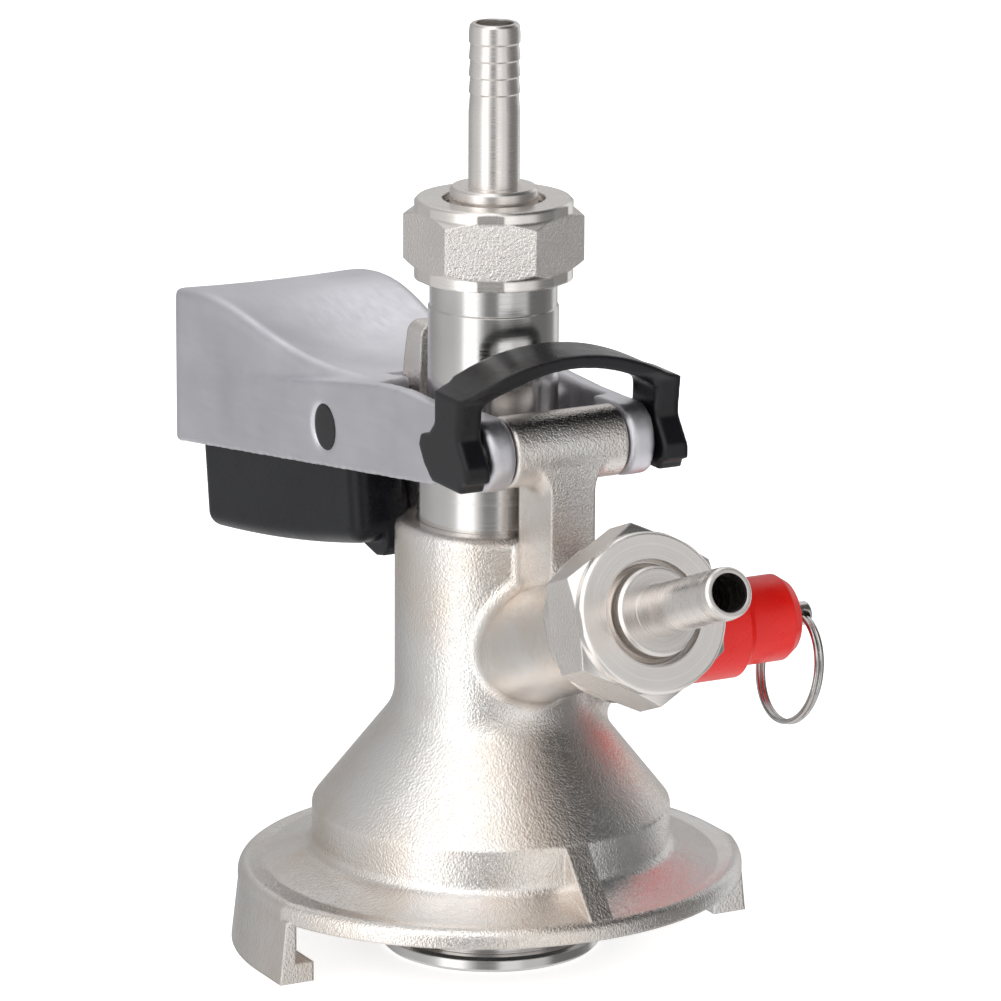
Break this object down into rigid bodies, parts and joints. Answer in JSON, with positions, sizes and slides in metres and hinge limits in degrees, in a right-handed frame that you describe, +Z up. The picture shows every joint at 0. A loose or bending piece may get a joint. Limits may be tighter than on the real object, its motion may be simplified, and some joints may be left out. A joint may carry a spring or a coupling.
{
  "type": "keg coupler",
  "caption": "Keg coupler with sliding claws, fork lever and trigger that move the probe, barbed beer and gas unions and a pull-ring relief valve.",
  "frame": {"origin": "probe axis at the lower face of the probe head, with the lever down", "axes": "+Z up along the probe to the beer outlet, -Y towards the gas inlet and the mouth of the claws, +X towards the relief valve"},
  "size_m": [0.114, 0.18, 0.17],
  "materials": {
    "cast_nickel": "nickel-plated casting, slightly rough",
    "machined_steel": "turned stainless steel, satin",
    "lever_alloy": "satin light grey",
    "black_plastic": "fine moulded grain",
    "bail_plastic": "semi-gloss moulded",
    "red_plastic": "semi-gloss moulded",
    "seal_rubber": "matt",
    "white_plastic": "matt",
    "spring_steel": "bright drawn wire"
  },
  "bodies": {
    "body": {"coupler_body": "cast_nickel", "body_seal": "seal_rubber", "gas_washer": "seal_rubber", "gas_hose_tail": "machined_steel", "gas_union_nut": "machined_steel", "gas_check_valve": "seal_rubber", "hinge_pin": "machined_steel", "relief_seat": "machined_steel", "relief_cap": "red_plastic"},
    "relief_plunger": {"relief_stem": "machined_steel", "relief_disc": "seal_rubber", "relief_spring": "spring_steel"},
    "pull_ring": {"relief_ring": "spring_steel"},
    "probe": {"probe": "machined_steel", "upper_o_ring": "seal_rubber", "lower_o_ring": "seal_rubber", "probe_seal": "seal_rubber", "ball_cage": "white_plastic", "beer_washer": "seal_rubber", "beer_hose_tail": "machined_steel", "beer_union_nut": "machined_steel"},
    "ball": {"check_ball": "white_plastic"},
    "lever": {"lever": "lever_alloy", "trigger_pin": "machined_steel", "pin_plugs": "black_plastic", "trigger_spring": "spring_steel"},
    "trigger": {"trigger": "black_plastic"},
    "bail": {"bail": "bail_plastic"}
  },
  "joints": [
    {"name": "lever_swing", "type": "hinge", "parent": "body", "child": "lever", "pos_m": [0, -0.0243, 0.0984], "axis": [1, 0, 0], "range_deg": [0, 30]},
    {"name": "probe_slide", "type": "slide", "parent": "body", "child": "probe", "axis": [0, 0, 1], "range_m": [0, 0.01345]},
    {"name": "ball_lift", "type": "slide", "parent": "probe", "child": "ball", "axis": [0, 0, 1], "range_m": [0, 0.003]},
    {"name": "trigger_squeeze", "type": "hinge", "parent": "lever", "child": "trigger", "pos_m": [0, 0.03089, 0.09162], "axis": [1, 0, 0], "range_deg": [0, 6], "stiffness_Nm_per_rad": 0.12, "springref_deg": -20.05},
    {"name": "bail_swing", "type": "hinge", "parent": "body", "child": "bail", "pos_m": [0, -0.0243, 0.0984], "axis": [1, 0, 0], "range_deg": [0, 88]},
    {"name": "relief_pull", "type": "slide", "parent": "body", "child": "relief_plunger", "axis": [1, 0, 0], "range_m": [0, 0.003], "stiffness_N_per_m": 900, "springref_m": -0.004, "deforming": ["relief_spring"]},
    {"name": "ring_swing", "type": "hinge", "parent": "relief_plunger", "child": "pull_ring", "pos_m": [0.0645, 0, 0.0535], "axis": [0, 1, 0], "range_deg": [-70, 0]}
  ],
  "couplings": [
    {"joint": "probe_slide", "follows": "lever_swing", "m_per_rad": 0.025309}
  ]
}
